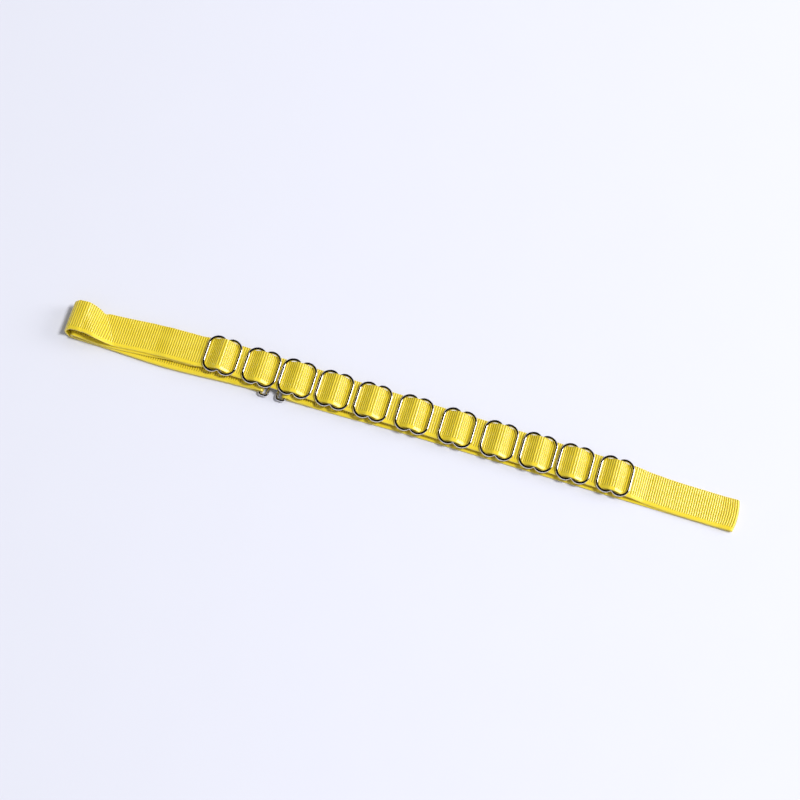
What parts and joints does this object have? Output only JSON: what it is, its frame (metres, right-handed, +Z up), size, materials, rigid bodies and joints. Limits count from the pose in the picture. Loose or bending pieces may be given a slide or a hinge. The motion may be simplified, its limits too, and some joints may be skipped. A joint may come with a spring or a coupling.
{
  "type": "elastic webbing slider belt",
  "caption": "Narrow elastic webbing belt folded flat, with figure-of-eight wire sliders on its upper layer and a hook and ring closure on its lower layer.",
  "frame": {"origin": "centre of the folded belt's box, on the surface that it lies on", "axes": "+X along the folded belt from the left fold to the right fold, +Y across the webbing, +Z up"},
  "size_m": [0.3164, 0.0208, 0.0091],
  "materials": {
    "webbing": "ribbed elastic webbing, satin",
    "plated_wire": "bright nickel plate",
    "thread": "polyester sewing thread"
  },
  "bodies": {
    "strap": {"main_strap": "webbing", "ring_end_tack": "thread"},
    "adjuster": {"slider_01": "plated_wire", "adjuster_end_tack": "thread"},
    "slider_02": {"slider_02": "plated_wire"},
    "slider_03": {"slider_03": "plated_wire"},
    "slider_04": {"slider_04": "plated_wire"},
    "slider_05": {"slider_05": "plated_wire"},
    "slider_06": {"slider_06": "plated_wire"},
    "slider_07": {"slider_07": "plated_wire"},
    "slider_08": {"slider_08": "plated_wire"},
    "slider_09": {"slider_09": "plated_wire"},
    "slider_10": {"slider_10": "plated_wire"},
    "slider_11": {"slider_11": "plated_wire"},
    "hook": {"closure_hook": "plated_wire"},
    "ring": {"closure_ring": "plated_wire"}
  },
  "joints": [
    {"name": "adjuster_slide", "type": "slide", "parent": "strap", "child": "adjuster", "axis": [1, 0, 0], "range_m": [-0.008, 0.00112], "deforming": ["main_strap"]},
    {"name": "slider_02_slide", "type": "slide", "parent": "strap", "child": "slider_02", "axis": [1, 0, 0], "range_m": [-0.00112, 0.00032], "deforming": ["main_strap"]},
    {"name": "slider_03_slide", "type": "slide", "parent": "strap", "child": "slider_03", "axis": [1, 0, 0], "range_m": [-0.000325, 0.000625], "deforming": ["main_strap"]},
    {"name": "slider_04_slide", "type": "slide", "parent": "strap", "child": "slider_04", "axis": [1, 0, 0], "range_m": [-0.00063, 0.00088], "deforming": ["main_strap"]},
    {"name": "slider_05_slide", "type": "slide", "parent": "strap", "child": "slider_05", "axis": [1, 0, 0], "range_m": [-0.00088, 0.00162], "deforming": ["main_strap"]},
    {"name": "slider_06_slide", "type": "slide", "parent": "strap", "child": "slider_06", "axis": [1, 0, 0], "range_m": [-0.00162, 0.00202], "deforming": ["main_strap"]},
    {"name": "slider_07_slide", "type": "slide", "parent": "strap", "child": "slider_07", "axis": [1, 0, 0], "range_m": [-0.00202, 0.00168], "deforming": ["main_strap"]},
    {"name": "slider_08_slide", "type": "slide", "parent": "strap", "child": "slider_08", "axis": [1, 0, 0], "range_m": [-0.00168, 0.00097], "deforming": ["main_strap"]},
    {"name": "slider_09_slide", "type": "slide", "parent": "strap", "child": "slider_09", "axis": [1, 0, 0], "range_m": [-0.00097, 0.00052], "deforming": ["main_strap"]},
    {"name": "slider_10_slide", "type": "slide", "parent": "strap", "child": "slider_10", "axis": [1, 0, 0], "range_m": [-0.00052, 0.00122], "deforming": ["main_strap"]},
    {"name": "slider_11_slide", "type": "slide", "parent": "strap", "child": "slider_11", "axis": [1, 0, 0], "range_m": [-0.00122, 0.008], "deforming": ["main_strap"]},
    {"name": "hook_pivot", "type": "hinge", "parent": "strap", "child": "hook", "pos_m": [-0.06535, -0.00115, 0.0016], "axis": [0, -1, 0], "range_deg": [0, 3]},
    {"name": "ring_pivot", "type": "hinge", "parent": "strap", "child": "ring", "pos_m": [-0.05355, -0.00115, 0.0016], "axis": [0, 1, 0], "range_deg": [0, 7]}
  ],
  "couplings": [
    {"joint": "ring_pivot", "follows": "hook_pivot", "ratio": 2.1892}
  ]
}
